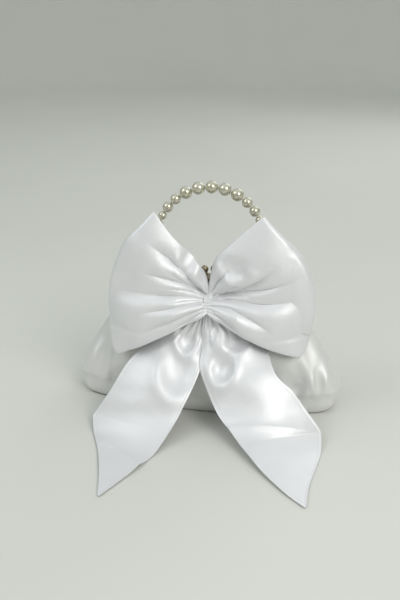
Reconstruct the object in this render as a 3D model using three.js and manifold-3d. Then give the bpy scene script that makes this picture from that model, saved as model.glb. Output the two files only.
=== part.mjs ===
// Flower girl's satin kiss-lock bag with a pearl handle and a large satin bow.
// Millimetres. +Z up, the front of the bag faces -Y, the origin is the middle of the base on the ground.
import * as THREE from 'three';
import { mergeVertices } from 'three/addons/utils/BufferGeometryUtils.js';
import Module from 'manifold-3d';

const wasm = await Module();
wasm.setup();

// ---- Driving dimensions ----
const CLEARANCE = 0.3; // between pieces that touch

const BASE_WIDTH = 238;
const BASE_DEPTH = 78;
const BELLY_WIDTH = 258; // widest place of the soft body
const BELLY_DEPTH = 84;
const BELLY_HEIGHT = 22;
const SATIN = 2.0; // outer panel with its interlining
const LINING = 0.8;
const LINING_GAP = 1.1;
const BOARD = 2.0;

const FRAME_TOP = 124;
const FRAME_HALF = 92;
const FRAME_CORNER = 28;
const HINGE_HEIGHT = 86;
const CHANNEL_DEEP = 7; // how far the channel reaches over the fabric
const CHANNEL_THICK = 5.7; // front to back, each half
const CHANNEL_WALL = 1.2;
const HALF_GAP = 0.3; // from the closing plane to each half frame
const LUG_RADIUS = 4;
const RIVET_RADIUS = 1.5;
const TAB_THICK = 1.5;
const OPEN_ANGLE = 50;
const SWING_ROOM = 1.2; // round the upper back panel as it swings

const KISS_BALL = 3.6;
const KISS_SPREAD = 4.3; // sideways, from the middle
const KISS_RISE = 6;
const KISS_CROSS = 1.2; // how far a ball passes over to the other half

const EYE_X = 50;
const RING_RADIUS = 3.6;
const RING_WIRE = 0.9;
const EYE_WIRE = 1.1;
const LUG_ROOM = 0.5; // round the jump ring's wire in an end cap's lug
const LUG_WALL = 0.8;
const HANDLE_LEAN = 10; // degrees back from upright
const PEARL_BORE = 1.1;
const WIRE_RADIUS = 0.5;
const PEARL_GAP = 0.3;
const PEARLS = [6, 6, 5, 5, 4, 4, 4, 4, 4]; // radii from beside the middle pearl down one side
const MIDDLE_PEARL = 6;
const CAP_HEIGHT = 4;

const LOOP_REACH = { left: 90, right: 98 }; // from the middle to each loop's outer fold
const BOW_TOP = 190;
const BOW_LOW = 50;
const GATHER_HEIGHT = 107;
const GATHER_HALF = 7.5;
const GATHER_REACH = 5.4; // the loops start just beyond it
const GATHER_THICK = 10;
const BOW_BACK = 9.5; // how far the free part of a loop stays in front of the closing plane
const TAIL_THICK = 2.4;
const TAIL_FLOOR = 0.4;

// ---- Materials ----
const satin = (name) => new THREE.MeshStandardMaterial({ name, color: 0xe4e4e6, roughness: 0.38 });
const liningCloth = () => new THREE.MeshStandardMaterial({ color: 0xe9e6df, roughness: 0.6 });
const board = () => new THREE.MeshStandardMaterial({ color: 0xb9a88c, roughness: 0.9 });
const paper = () => new THREE.MeshStandardMaterial({ color: 0xcfc6b2, roughness: 0.95 });
const brass = () => new THREE.MeshStandardMaterial({ color: 0xb9a57e, roughness: 0.28, metalness: 1 });
const pearl = () => new THREE.MeshStandardMaterial({ color: 0xe6e2d4, roughness: 0.18 });
const steel = () => new THREE.MeshStandardMaterial({ color: 0xb8b8b4, roughness: 0.35, metalness: 1 });

const bag = new THREE.Group();

function addPiece(name, geometry, material, parent = bag) {
  const mesh = new THREE.Mesh(geometry, material);
  mesh.name = name;
  parent.add(mesh);
  return mesh;
}

// ---- Solids ----
function toSolid(geometry) {
  const bare = geometry.clone();
  bare.deleteAttribute('normal');
  bare.deleteAttribute('uv');
  const merged = mergeVertices(bare, 1e-4);
  const vertProperties = new Float32Array(merged.attributes.position.array);
  const triVerts = new Uint32Array(merged.index.array);
  return new wasm.Manifold(new wasm.Mesh({ numProp: 3, vertProperties, triVerts }));
}

function toGeometry(solid) {
  const mesh = solid.getMesh();
  const geometry = new THREE.BufferGeometry();
  geometry.setAttribute('position', new THREE.BufferAttribute(new Float32Array(mesh.vertProperties), 3));
  geometry.setIndex([...mesh.triVerts]);
  geometry.computeVertexNormals();
  return geometry;
}

// A closed solid through rings of the same number of points. A ring goes out along one skin and comes
// back along the other, so each end is closed by a strip between the two.
function loft(rings) {
  const count = rings[0].length;
  const index = [];
  const quad = (a, b, c, d) => index.push(a, b, c, a, c, d);
  for (let r = 0; r + 1 < rings.length; r++) {
    for (let i = 0; i < count; i++) {
      const a = r * count + i;
      const b = r * count + ((i + 1) % count);
      quad(a, b, b + count, a + count);
    }
  }
  const last = (rings.length - 1) * count;
  for (let i = 0; i + 1 < count / 2; i++) {
    const far = count - 1 - i;
    quad(far, far - 1, i + 1, i);
    quad(last + i, last + i + 1, last + far - 1, last + far);
  }
  const geometry = new THREE.BufferGeometry().setFromPoints(rings.flat());
  geometry.setIndex(index);
  return outward(geometry);
}

// Turns the faces round if the solid is inside out.
function outward(geometry) {
  const p = geometry.attributes.position;
  const index = geometry.index.array;
  const corner = (k) => new THREE.Vector3().fromBufferAttribute(p, index[k]);
  let volume = 0;
  for (let k = 0; k < index.length; k += 3) volume += corner(k).dot(corner(k + 1).cross(corner(k + 2)));
  if (volume < 0) {
    for (let k = 0; k < index.length; k += 3) [index[k + 1], index[k + 2]] = [index[k + 2], index[k + 1]];
  }
  geometry.computeVertexNormals();
  return geometry;
}

// A smooth function through [x, y] points that never overshoots them.
function through(points) {
  const slopes = points.slice(1).map(([x, y], i) => (y - points[i][1]) / (x - points[i][0]));
  const tangent = points.map((_, i) => {
    if (i === 0) return slopes[0];
    if (i === points.length - 1) return slopes[i - 1];
    if (slopes[i - 1] * slopes[i] <= 0) return 0;
    return (2 * slopes[i - 1] * slopes[i]) / (slopes[i - 1] + slopes[i]);
  });
  return (x) => {
    let i = points.findIndex(([next]) => x <= next) - 1;
    i = Math.max(0, i < -1 ? points.length - 2 : i);
    const [x0, y0] = points[i];
    const [x1, y1] = points[i + 1];
    const w = x1 - x0;
    const t = THREE.MathUtils.clamp((x - x0) / w, 0, 1);
    const h = t * t * (3 - 2 * t);
    return y0 + (y1 - y0) * h + w * t * (1 - t) * ((1 - t) * tangent[i] - t * tangent[i + 1]);
  };
}

// ---- The soft body ----
const CHANNEL_MIDDLE = HALF_GAP + CHANNEL_THICK / 2;
const CORNER_X = FRAME_HALF - FRAME_CORNER;
const CORNER_Z = FRAME_TOP - FRAME_CORNER;
const INNER_CORNER = FRAME_CORNER - CHANNEL_DEEP;
const FRAME_ROOM = 0.6; // from the channel's inner edge to the fabric
const PANEL_TOP = FRAME_TOP - CHANNEL_DEEP - FRAME_ROOM;
const SHOULDER = HINGE_HEIGHT - LUG_RADIUS - 0.4; // below the hinge lugs the sides swell out
const SIDE_TOP = SHOULDER - 3.6;
const LINING_TOP = PANEL_TOP - 2;
const PANEL_BOTTOM = SATIN + CLEARANCE;
const FRAME_INSIDE = FRAME_HALF - CHANNEL_DEEP - FRAME_ROOM;

const freeHalfWidth = through([
  [0, BASE_WIDTH / 2],
  [BELLY_HEIGHT, BELLY_WIDTH / 2],
  [BELLY_HEIGHT + 0.4 * (SIDE_TOP - BELLY_HEIGHT), 0.55 * (BELLY_WIDTH / 2) + 0.45 * (FRAME_HALF + 12)],
  [SIDE_TOP, FRAME_HALF + 4],
]);

function halfWidth(z) {
  if (z <= SIDE_TOP) return freeHalfWidth(z);
  if (z < SHOULDER) return THREE.MathUtils.mapLinear(z, SIDE_TOP, SHOULDER, FRAME_HALF + 4, FRAME_INSIDE);
  if (z < CORNER_Z) return FRAME_INSIDE;
  const corner = INNER_CORNER - FRAME_ROOM;
  return CORNER_X + Math.sqrt(Math.max(0, corner ** 2 - (z - CORNER_Z) ** 2));
}

const halfDepth = through([
  [0, BASE_DEPTH / 2],
  [BELLY_HEIGHT, BELLY_DEPTH / 2],
  [0.4 * FRAME_TOP, BELLY_DEPTH / 2 - 3],
  [0.65 * FRAME_TOP, 0.7 * (BELLY_DEPTH / 2)],
  [0.85 * FRAME_TOP, 0.36 * (BELLY_DEPTH / 2) + 1],
  [PANEL_TOP, CHANNEL_MIDDLE + 3.4],
]);

// Where a panel's side edges lie: on the closing plane low down, in the channel's middle higher up.
function edgeDepth(z) {
  return THREE.MathUtils.clamp(
    THREE.MathUtils.mapLinear(z, SIDE_TOP, SHOULDER, CLEARANCE / 2, CHANNEL_MIDDLE),
    CLEARANCE / 2,
    CHANNEL_MIDDLE,
  );
}

const swell = (s) => (1 - Math.abs(s) ** 2.4) ** (1 / 1.5);

// side is -1 at the front and +1 at the back, s runs from -1 to 1 across, inset goes into the wall.
function bodyPoint(side, s, z, inset) {
  const edge = edgeDepth(z);
  const depth = edge + (halfDepth(z) - inset - edge) * swell(s);
  return new THREE.Vector3(s * (halfWidth(z) - inset), side * depth, z);
}

function bodyDepthAt(x, z) {
  const s = THREE.MathUtils.clamp(x / halfWidth(z), -1, 1);
  return -bodyPoint(-1, s, z, 0).y;
}

const across = (count) => Array.from({ length: count + 1 }, (_, i) => Math.sin(((i / count) * 2 - 1) * Math.PI / 2));

// A closed slab between an outer and an inner skin, each a function of (s, z).
function slab(heights, stations, outer, inner) {
  const rings = stations.map((s) => [
    ...heights.map((z) => outer(s, z)),
    ...[...heights].reverse().map((z) => inner(s, z)),
  ]);
  return loft(rings);
}

const LEVEL_STEP = 12;

// The same heights for every skin, so that neighbouring skins stay parallel.
function levels(low, high) {
  const even = (from, to, count) => Array.from({ length: count }, (_, i) => from + ((to - from) * i) / count);
  const marks = [
    ...even(PANEL_BOTTOM, SIDE_TOP, 6),
    SIDE_TOP,
    SHOULDER,
    ...even(HINGE_HEIGHT, CORNER_Z, Math.ceil((CORNER_Z - HINGE_HEIGHT) / LEVEL_STEP)),
    ...even(CORNER_Z, LINING_TOP, 4),
    LINING_TOP,
    PANEL_TOP,
    FRAME_TOP,
  ];
  return [low, ...marks.filter((z) => z > low + 0.5 && z < high - 0.5), high];
}

function panel(side, low, high, from, to, count = 14) {
  return slab(
    levels(low, high),
    across(count),
    (s, z) => bodyPoint(side, s, z, from),
    (s, z) => bodyPoint(side, s, z, to),
  );
}

// The room that the upper back panel needs as it swings open with the back frame.
function swingRoom() {
  const wedge = toSolid(slab(
    levels(HINGE_HEIGHT, FRAME_TOP),
    across(12),
    (s, z) => bodyPoint(1, s, Math.min(z, PANEL_TOP), -SWING_ROOM).setZ(z),
    (s, z) => bodyPoint(1, s, Math.min(z, PANEL_TOP), -SWING_ROOM).setZ(z).setY(0),
  ));
  const centred = wedge.translate([0, 0, -HINGE_HEIGHT]);
  const steps = 14;
  let room = centred;
  for (let i = 1; i <= steps; i++) room = room.add(centred.rotate([(-OPEN_ANGLE - 2) * i / steps, 0, 0]));
  return room.translate([0, 0, HINGE_HEIGHT]);
}

// The largest body of a cut solid: slivers left beside a cut are dropped.
function mainBody(solid) {
  return solid.decompose().sort((a, b) => b.volume() - a.volume())[0];
}

function baseOutline(inset) {
  const outline = [];
  const stations = across(18);
  for (const s of stations) outline.push(bodyPoint(-1, s, 0, inset));
  for (const s of [...stations].reverse()) outline.push(bodyPoint(1, s, 0, inset));
  return new THREE.Shape(outline.map((p) => new THREE.Vector2(p.x, p.y)));
}

function plate(shape, low, thickness) {
  const geometry = new THREE.ExtrudeGeometry(shape, { depth: thickness, bevelEnabled: false });
  geometry.translate(0, 0, low);
  return geometry;
}

function makeBody() {
  const lining = [SATIN + LINING_GAP, SATIN + LINING_GAP + LINING];
  const boardInset = lining[1] + 0.5;
  const boardLow = SATIN + CLEARANCE;
  const split = HINGE_HEIGHT + CLEARANCE;
  const room = swingRoom();

  addPiece('front_panel', panel(-1, PANEL_BOTTOM, PANEL_TOP, 0, SATIN), satin('front'));
  addPiece('lining_front', panel(-1, PANEL_BOTTOM, LINING_TOP, ...lining), liningCloth());
  addPiece('back_panel_upper', panel(1, split, PANEL_TOP, 0, SATIN), satin('back'));
  addPiece('lining_back_upper', panel(1, split, LINING_TOP, ...lining), liningCloth());
  const lower = toSolid(panel(1, PANEL_BOTTOM, HINGE_HEIGHT, 0, SATIN)).subtract(room);
  addPiece('back_panel_lower', toGeometry(mainBody(lower)), satin('back'));
  const lowerLining = toSolid(panel(1, PANEL_BOTTOM, SIDE_TOP, ...lining)).subtract(room);
  addPiece('lining_back_lower', toGeometry(mainBody(lowerLining)), liningCloth());
  addPiece('base_panel', plate(baseOutline(0), 0, SATIN), satin('base'));
  addPiece('base_board', plate(baseOutline(boardInset), boardLow, BOARD), board());
  addPiece('lining_base', plate(baseOutline(boardInset), boardLow + BOARD + CLEARANCE, LINING), liningCloth());
}

// ---- The clasp frame ----
// The frame's outline as a band between two insets from its outer edge, open at the bottom.
function band(from, to, low) {
  const edge = (shape, inset, back) => {
    const x = FRAME_HALF - inset;
    const r = FRAME_CORNER - inset;
    const turn = Math.PI / 2;
    if (!back) {
      shape.moveTo(-x, low);
      shape.lineTo(-x, CORNER_Z);
      shape.absarc(-CORNER_X, CORNER_Z, r, 2 * turn, turn, true);
      shape.lineTo(CORNER_X, CORNER_Z + r);
      shape.absarc(CORNER_X, CORNER_Z, r, turn, 0, true);
      shape.lineTo(x, low);
    } else {
      shape.lineTo(x, low);
      shape.lineTo(x, CORNER_Z);
      shape.absarc(CORNER_X, CORNER_Z, r, 0, turn, false);
      shape.lineTo(-CORNER_X, CORNER_Z + r);
      shape.absarc(-CORNER_X, CORNER_Z, r, turn, 2 * turn, false);
      shape.lineTo(-x, low);
    }
  };
  const shape = new THREE.Shape();
  edge(shape, from, false);
  edge(shape, to, true);
  return shape;
}

// An outline drawn in X and Z, made thick from near to far along Y.
function upright(shape, near, far, curveSegments = 6) {
  const geometry = new THREE.ExtrudeGeometry(shape, { depth: far - near, bevelEnabled: false, curveSegments });
  geometry.rotateX(Math.PI / 2);
  geometry.translate(0, far, 0);
  return geometry;
}

const HINGE_X = FRAME_HALF - CHANNEL_DEEP / 2;
const LEG_END = HINGE_HEIGHT + LUG_RADIUS + 0.5;

// A turned piece lying along X, from an outline of [distance along, radius] points.
function turnedAlongX(outline, x, y, z, segments = 12) {
  const geometry = new THREE.LatheGeometry(outline.map(([along, r]) => new THREE.Vector2(r, along)), segments);
  geometry.rotateZ(-Math.PI / 2);
  geometry.translate(x, y, z);
  return outward(toGeometry(toSolid(geometry)));
}

// A flat hinge tab in a plane across X, with a neck up to its half of the frame.
function hingeTab(low, high) {
  const neckFar = -HALF_GAP;
  const neckNear = -HALF_GAP - CHANNEL_THICK;
  const round = [[low, 0], [low, LUG_RADIUS], [high, LUG_RADIUS], [high, 0]];
  const neck = new THREE.BoxGeometry(high - low, neckFar - neckNear, LEG_END + 1 - HINGE_HEIGHT);
  neck.translate((low + high) / 2, (neckNear + neckFar) / 2, (LEG_END + 1 + HINGE_HEIGHT) / 2);
  return toSolid(turnedAlongX(round, 0, 0, HINGE_HEIGHT)).add(toSolid(neck));
}

// Half of the frame as it is at the front: a U channel open towards the fabric, with a tab at each end.
// The two halves' tabs lie side by side on the rivet.
function halfFrame(side) {
  const near = -HALF_GAP - CHANNEL_THICK;
  const far = -HALF_GAP;
  const rail = toSolid(upright(band(0, CHANNEL_DEEP, LEG_END), near, far));
  const groove = upright(band(CHANNEL_WALL, CHANNEL_DEEP + 1, LEG_END - 1), near + CHANNEL_WALL, far - CHANNEL_WALL);
  let frame = rail.subtract(toSolid(groove));
  const [low, high] = side < 0 ? [HINGE_X + 0.2, HINGE_X + TAB_THICK + 0.2] : [HINGE_X - TAB_THICK - 0.2, HINGE_X - 0.2];
  const bore = RIVET_RADIUS + CLEARANCE;
  const hole = toSolid(turnedAlongX([[low - 1, 0], [low - 1, bore], [high + 1, bore], [high + 1, 0]], 0, 0, HINGE_HEIGHT));
  const tab = hingeTab(low, high).subtract(hole);
  frame = frame.add(tab).add(tab.mirror([1, 0, 0]));
  return toGeometry(side < 0 ? frame : frame.mirror([0, 1, 0]));
}

// The twisted paper cord that jams the fabric in the channel.
function jamCord(side) {
  const room = CHANNEL_WALL + CLEARANCE;
  const near = -HALF_GAP - CHANNEL_THICK + room;
  const cord = toSolid(upright(band(room, CHANNEL_DEEP - 1.5, LEG_END + 1), near, -HALF_GAP - room));
  return toGeometry(side < 0 ? cord : cord.mirror([0, 1, 0]));
}

function makeRivet(name, side) {
  const reach = TAB_THICK + 0.2 + CLEARANCE;
  const head = RIVET_RADIUS + 1.1;
  const outline = [[-reach - 0.8, 0], [-reach - 0.8, head], [-reach, head], [-reach, RIVET_RADIUS],
    [reach, RIVET_RADIUS], [reach, head], [reach + 0.6, head], [reach + 1.1, 1.2], [reach + 1.1, 0]];
  const rivet = turnedAlongX(outline, HINGE_X, 0, HINGE_HEIGHT);
  addPiece(name, side < 0 ? toGeometry(toSolid(rivet).mirror([1, 0, 0])) : rivet, brass());
}

function tube(points, radius, steps, quarters) {
  const section = new THREE.Shape();
  section.absarc(0, 0, radius, 0, 2 * Math.PI);
  const path = new THREE.CatmullRomCurve3(points);
  return new THREE.ExtrudeGeometry(section, {
    steps, bevelEnabled: false, extrudePath: path, curveSegments: quarters,
  });
}

// A kiss-lock ball on a bent stem: side is the half it stands on, and it passes over to the other.
function makeKnob(name, side) {
  const x = -side * KISS_SPREAD;
  const foot = FRAME_TOP + CLEARANCE;
  const y = side * CHANNEL_MIDDLE;
  const centre = new THREE.Vector3(x, -side * KISS_CROSS, FRAME_TOP + KISS_RISE);
  const ball = new THREE.SphereGeometry(KISS_BALL, 14, 10);
  ball.rotateX(Math.PI / 2);
  ball.translate(...centre);
  const bend = new THREE.Vector3(x, y, foot + 2);
  const stem = tube([new THREE.Vector3(x, y, foot + 0.2), bend, centre], 1.5, 4, 4);
  const pad = new THREE.CylinderGeometry(2.2, 2.5, 1, 12);
  pad.rotateX(Math.PI / 2);
  pad.translate(x, y, foot + 0.5);
  addPiece(name, toGeometry(toSolid(ball).add(toSolid(stem)).add(toSolid(pad))), brass());
}

const EYE_MIDDLE = FRAME_TOP + CLEARANCE + EYE_WIRE + RING_RADIUS - 0.4;
const PIVOT = new THREE.Vector3(0, -CHANNEL_MIDDLE, EYE_MIDDLE + 0.6);

function makeEye(name, x) {
  const eye = new THREE.TorusGeometry(RING_RADIUS, EYE_WIRE, 6, 14);
  eye.rotateY(Math.PI / 2);
  eye.translate(x, PIVOT.y, EYE_MIDDLE);
  const foot = new THREE.CylinderGeometry(2.4, 2.6, 1.6, 12);
  foot.rotateX(Math.PI / 2);
  foot.translate(x, PIVOT.y, FRAME_TOP + CLEARANCE + 0.8);
  addPiece(name, toGeometry(toSolid(eye).add(toSolid(foot))), brass());
}

function makeFrame() {
  addPiece('front_frame', halfFrame(-1), brass());
  addPiece('back_frame', halfFrame(1), brass());
  addPiece('front_channel_cord', jamCord(-1), paper());
  addPiece('back_channel_cord', jamCord(1), paper());
  makeRivet('hinge_rivet_left', -1);
  makeRivet('hinge_rivet_right', 1);
  makeKnob('front_kiss_knob', -1);
  makeKnob('back_kiss_knob', 1);
  makeEye('handle_eye_left', -EYE_X);
  makeEye('handle_eye_right', EYE_X);
}

// ---- The pearl handle, in a frame of its own whose origin is the swing axis ----
const CAP_LOW = 2 * RING_RADIUS + 1.2;
const FIRST_PEARL = CAP_LOW + CAP_HEIGHT + CLEARANCE + PEARLS.at(-1);
const QUARTER = (Math.PI / 2) * EYE_X;

// One side's pearls from beside the middle one down: the last size goes on until the arch is filled.
const SIDE_PEARLS = [];
const PEARL_PLACES = [0];
while (SIDE_PEARLS.length < PEARLS.length || PEARL_PLACES.at(-1) < QUARTER) {
  const before = SIDE_PEARLS.at(-1) ?? MIDDLE_PEARL;
  const radius = PEARLS[SIDE_PEARLS.length] ?? PEARLS.at(-1);
  PEARL_PLACES.push(PEARL_PLACES.at(-1) + before + PEARL_GAP + radius);
  SIDE_PEARLS.push(radius);
}
const ARCH_BASE = FIRST_PEARL + PEARL_PLACES.at(-1) - QUARTER;

// The point on the handle's centre line at distance s from its top, negative to the left.
function handlePoint(s) {
  const beyond = Math.abs(s) - QUARTER;
  if (beyond > 0) return new THREE.Vector3(Math.sign(s) * EYE_X, 0, ARCH_BASE - beyond);
  return new THREE.Vector3(EYE_X * Math.sin(s / EYE_X), 0, ARCH_BASE + EYE_X * Math.cos(s / EYE_X));
}

function makePearl(name, radius, s, parent) {
  const rise = Math.acos(PEARL_BORE / radius);
  const steps = 6;
  const outline = [];
  for (let i = 0; i <= steps; i++) {
    const a = -rise + (2 * rise * i) / steps;
    outline.push(new THREE.Vector2(radius * Math.cos(a), radius * Math.sin(a)));
  }
  outline.push(outline[0].clone());
  const mesh = addPiece(name, new THREE.LatheGeometry(outline, 12), pearl(), parent);
  const ahead = handlePoint(s + 0.5).sub(handlePoint(s - 0.5)).normalize();
  mesh.position.copy(handlePoint(s));
  mesh.quaternion.setFromUnitVectors(new THREE.Vector3(0, 1, 0), ahead);
}

function makeRingAndCap(side, x, parent) {
  const ring = new THREE.TorusGeometry(RING_RADIUS, RING_WIRE, 6, 14);
  ring.rotateX(Math.PI / 2);
  ring.translate(x, 0, RING_RADIUS);
  addPiece(`jump_ring_${side}`, toGeometry(toSolid(ring)), brass(), parent);
  const lug = new THREE.Shape();
  lug.absarc(0, 2 * RING_RADIUS, RING_WIRE + LUG_ROOM + LUG_WALL, 0, 2 * Math.PI);
  const eye = new THREE.Path();
  eye.absarc(0, 2 * RING_RADIUS, RING_WIRE + LUG_ROOM, 0, 2 * Math.PI);
  lug.holes.push(eye);
  const tab = upright(lug, -0.8, 0.8);
  tab.rotateZ(Math.PI / 2);
  tab.translate(x, 0, 0);
  const low = CAP_LOW + 0.8;
  const high = CAP_LOW + CAP_HEIGHT;
  const outline = [[0, low], [1.6, low], [2.6, low + 1], [3.3, high - 0.4], [3.3, high], [0, high]];
  const cup = new THREE.LatheGeometry(outline.map(([r, z]) => new THREE.Vector2(r, z)), 16);
  cup.rotateX(Math.PI / 2);
  cup.translate(x, 0, 0);
  const cap = toSolid(outward(toGeometry(toSolid(cup)))).add(toSolid(tab));
  addPiece(`end_cap_${side}`, toGeometry(cap), brass(), parent);
}

function makeHandle() {
  const handle = new THREE.Group();
  handle.position.copy(PIVOT);
  handle.rotation.x = THREE.MathUtils.degToRad(-HANDLE_LEAN);
  bag.add(handle);
  makeRingAndCap('left', -EYE_X, handle);
  makeRingAndCap('right', EYE_X, handle);
  const places = [...PEARL_PLACES.slice(1).map((s) => -s).reverse(), ...PEARL_PLACES];
  places.forEach((s, i) => {
    const rank = Math.abs(i - SIDE_PEARLS.length);
    const radius = rank ? SIDE_PEARLS[rank - 1] : MIDDLE_PEARL;
    makePearl(`pearl_${String(i + 1).padStart(2, '0')}`, radius, s, handle);
  });
  const end = PEARL_PLACES.at(-1) + PEARLS.at(-1);
  const steps = 32;
  const path = Array.from({ length: steps + 1 }, (_, i) => handlePoint(-end + (2 * end * i) / steps));
  addPiece('handle_wire', tube(path, WIRE_RADIUS, steps, 3), steel(), handle);
}

// ---- The bow ----
// How far in front of the closing plane the bow's back lies, given a stand-off from the body.
function bowBack(x, z, standOff) {
  return Math.max(bodyDepthAt(x, Math.min(z, PANEL_TOP)) + standOff, BOW_BACK);
}

const LOOP_TOP = through([
  [0.06, GATHER_HEIGHT + GATHER_HALF],
  [0.16, GATHER_HEIGHT + 0.46 * (BOW_TOP - GATHER_HEIGHT)],
  [0.46, GATHER_HEIGHT + 0.94 * (BOW_TOP - GATHER_HEIGHT)],
  [0.52, BOW_TOP],
  [0.66, GATHER_HEIGHT + 0.86 * (BOW_TOP - GATHER_HEIGHT)],
  [0.8, GATHER_HEIGHT + 0.66 * (BOW_TOP - GATHER_HEIGHT)],
  [0.92, GATHER_HEIGHT + 0.36 * (BOW_TOP - GATHER_HEIGHT)],
  [1, GATHER_HEIGHT + 0.11 * (BOW_TOP - GATHER_HEIGHT)],
]);
const LOOP_LOW = through([
  [0.06, GATHER_HEIGHT - GATHER_HALF],
  [0.43, GATHER_HEIGHT - 0.49 * (GATHER_HEIGHT - BOW_LOW)],
  [0.76, GATHER_HEIGHT - 0.88 * (GATHER_HEIGHT - BOW_LOW)],
  [0.88, BOW_LOW],
  [0.94, GATHER_HEIGHT - 0.92 * (GATHER_HEIGHT - BOW_LOW)],
  [1, GATHER_HEIGHT - 0.26 * (GATHER_HEIGHT - BOW_LOW)],
]);
const LOOP_THICK = through([[0.06, 9], [0.3, 22], [0.6, 27], [0.9, 18], [1, 9]]);
const LOOP_STAND_OFF = 10;

function makeLoop(hand, side) {
  const stations = [0.067, 0.11, 0.16, 0.24, 0.34, 0.43, 0.5, 0.56, 0.66, 0.76, 0.84, 0.9, 0.95, 1];
  const rings = stations.map((u) => {
    const x = side * u * LOOP_REACH[hand];
    const rows = 8;
    const front = [];
    const back = [];
    for (let i = 0; i <= rows; i++) {
      const v = i / rows;
      const z = THREE.MathUtils.lerp(LOOP_LOW(u), LOOP_TOP(u), v);
      const y = -bowBack(x, z, LOOP_STAND_OFF * Math.min(1, 0.4 + 2 * u));
      const thick = 4 + (LOOP_THICK(u) - 4) * Math.sin(Math.PI * v) ** 0.7;
      front.push(new THREE.Vector3(x, y - thick, z));
      back.unshift(new THREE.Vector3(x, y, z));
    }
    return [...front, ...back];
  });
  addPiece(`bow_loop_${hand}`, loft(rings), satin('bow'));
}

function makeGather() {
  const reach = GATHER_REACH;
  const rings = [-1, -0.4, 0.4, 1].map((u) => {
    const height = GATHER_HALF * (1 - 0.12 * (1 - u * u));
    const sides = 14;
    return Array.from({ length: sides }, (_, i) => {
      const a = (2 * Math.PI * i) / sides;
      const z = GATHER_HEIGHT + height * Math.sin(a);
      const back = bowBack(0, GATHER_HEIGHT - GATHER_HALF, 2.4);
      return new THREE.Vector3(u * reach, -back - (GATHER_THICK / 2) * (1 - Math.cos(a)), z);
    });
  });
  addPiece('bow_gather', loft(rings), satin('bow'));
}

// The sewn patch that carries the bow on the front panel.
function makePatch() {
  const half = 12 / halfWidth(GATHER_HEIGHT);
  const heights = [GATHER_HEIGHT - 7, GATHER_HEIGHT, GATHER_HEIGHT + 6];
  const stations = [-half, -half / 3, half / 3, half];
  const patch = slab(
    heights,
    stations,
    (s, z) => bodyPoint(-1, s, z, -1.6),
    (s, z) => bodyPoint(-1, s, z, -0.6),
  );
  addPiece('bow_patch', patch, satin('patch'));
}

// A tail is a flat double strip between an outer and an inner edge, each a list of points.
function makeTail(name, outer, inner) {
  const across = 5;
  const outerLine = new THREE.CatmullRomCurve3(outer, false, 'centripetal');
  const innerLine = new THREE.CatmullRomCurve3(inner, false, 'centripetal');
  const steps = 2 * (outer.length - 1);
  const rings = [];
  for (let k = 0; k <= steps; k++) {
    const t = k / steps;
    const a = outerLine.getPoint(t);
    const b = innerLine.getPoint(t);
    const along = outerLine.getTangent(t).add(innerLine.getTangent(t));
    const normal = along.cross(b.clone().sub(a)).normalize();
    if (normal.z < 0) normal.negate();
    const lift = normal.multiplyScalar(TAIL_THICK);
    const edge = Array.from({ length: across + 1 }, (_, i) => a.clone().lerp(b, i / across));
    rings.push([...edge, ...[...edge].reverse().map((p) => p.clone().add(lift))]);
  }
  addPiece(name, loft(rings), satin('tail'));
}

function makeTails() {
  const onBody = (x, z) => new THREE.Vector3(x, -bowBack(x, z, 1) - TAIL_THICK, z);
  const lean = BASE_DEPTH / 2;
  const at = (x, beyond, z) => new THREE.Vector3(x, -lean - beyond, Math.max(z, TAIL_FLOOR));
  const top = GATHER_HEIGHT - 14;
  const under = GATHER_HEIGHT - 38;
  makeTail(
    'bow_tail_left',
    [onBody(-15, top), onBody(-44, under), at(-66, 13, 54), at(-81, 27, 30), at(-95, 37, 9), at(-89, 56, 1),
      at(-78, 81, 0), at(-67, 113, 0), at(-60, 141, 0)],
    [onBody(-1, top), onBody(-1, under), at(-1, 11, 54), at(-6, 29, 34), at(-17, 51, 15), at(-29, 80, 1),
      at(-37, 99, 0), at(-48, 121, 0), at(-57, 142, 0)],
  );
  makeTail(
    'bow_tail_right',
    [onBody(15, top), onBody(44, under), at(68, 13, 53), at(85, 18, 40), at(99, 23, 24), at(111, 29, 9),
      at(113, 51, 1), at(109, 77, 0), at(105, 101, 0), at(104, 127, 0)],
    [onBody(1, top), onBody(1, under), at(1, 10, 56), at(8, 23, 38), at(20, 38, 23), at(33, 51, 14),
      at(51, 73, 8), at(73, 99, 4), at(88, 115, 1), at(102, 128, 0)],
  );
}

function makeBow() {
  makeLoop('left', -1);
  makeLoop('right', 1);
  makeGather();
  makePatch();
  makeTails();
}

makeBody();
makeFrame();
makeHandle();
makeBow();

export default bag;
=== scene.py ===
"""A flower girl's satin kiss-lock bag with a pearl handle and a large bow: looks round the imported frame.

Metres throughout. +Z is up, the front faces -Y, +X is on the right as seen from the front, and the origin
is the middle of the base on the ground.
"""

import math

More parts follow.
